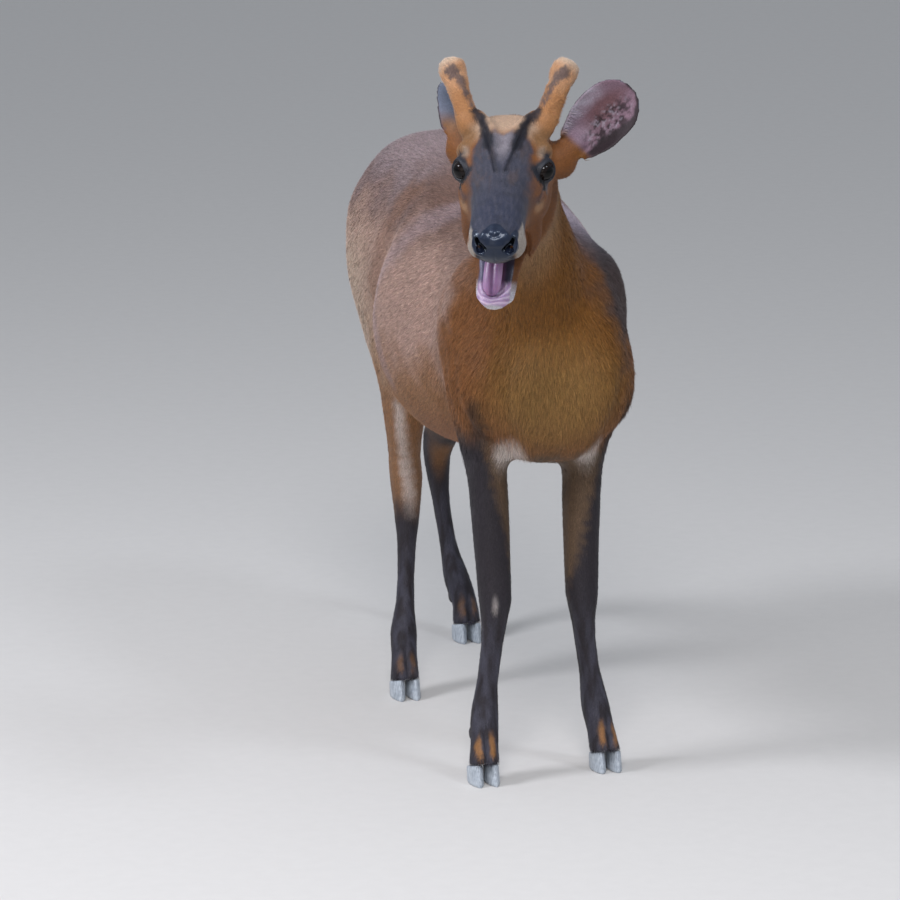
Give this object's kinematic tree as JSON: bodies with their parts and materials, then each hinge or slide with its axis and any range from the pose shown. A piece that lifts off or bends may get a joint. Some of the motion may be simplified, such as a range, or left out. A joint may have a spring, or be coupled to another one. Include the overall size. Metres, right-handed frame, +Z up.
{
  "type": "muntjac",
  "caption": "Life-size model of a standing muntjac buck, head turned and mouth open, with short antlers in velvet.",
  "frame": {"origin": "middle of the bottom of the bounding box, on the floor between the hooves", "axes": "+Y from the head to the tail, +X towards the animal's left side, +Z up"},
  "size_m": [0.2618, 0.8894, 0.7454],
  "materials": {
    "torso": "short flat chestnut hair with a greyish sheen",
    "neck": "short ochre-brown hair",
    "head": "very short hair, slate grey down the face and orange-brown on the cheeks",
    "jaw": "very short hair, whitish at the chin, over a dark lip",
    "tail": "longer hair, chestnut above and white below",
    "ear": "thin short-haired skin, pinkish and mottled inside",
    "pedicle": "very short orange-brown hair",
    "antler": "velvet",
    "leg_upper": "short hair, chestnut to dark brown",
    "leg_lower": "short dark brown hair with a purple-grey sheen",
    "nose": "moist bare skin",
    "tongue": "moist bare skin",
    "eye": "glossy black",
    "hoof": "worn horn",
    "dewclaw": "worn horn"
  },
  "bodies": {
    "root": {"torso": "torso", "neck": "neck", "head": "head", "jaw": "jaw", "nose": "nose", "tongue": "tongue", "tail": "tail", "eye_right": "eye", "ear_right": "ear", "pedicle_right": "pedicle", "antler_right": "antler", "foreleg_right_upper": "leg_upper", "foreleg_right_lower": "leg_lower", "hindleg_right_upper": "leg_upper", "hindleg_right_lower": "leg_lower", "hoof_fore_right_inner": "hoof", "dewclaw_fore_right_inner": "dewclaw", "hoof_fore_right_outer": "hoof", "dewclaw_fore_right_outer": "dewclaw", "hoof_hind_right_inner": "hoof", "dewclaw_hind_right_inner": "dewclaw", "hoof_hind_right_outer": "hoof", "dewclaw_hind_right_outer": "dewclaw", "eye_left": "eye", "ear_left": "ear", "pedicle_left": "pedicle", "antler_left": "antler", "foreleg_left_upper": "leg_upper", "foreleg_left_lower": "leg_lower", "hindleg_left_upper": "leg_upper", "hindleg_left_lower": "leg_lower", "hoof_fore_left_inner": "hoof", "dewclaw_fore_left_inner": "dewclaw", "hoof_fore_left_outer": "hoof", "dewclaw_fore_left_outer": "dewclaw", "hoof_hind_left_inner": "hoof", "dewclaw_hind_left_inner": "dewclaw", "hoof_hind_left_outer": "hoof", "dewclaw_hind_left_outer": "dewclaw"}
  },
  "joints": []
}
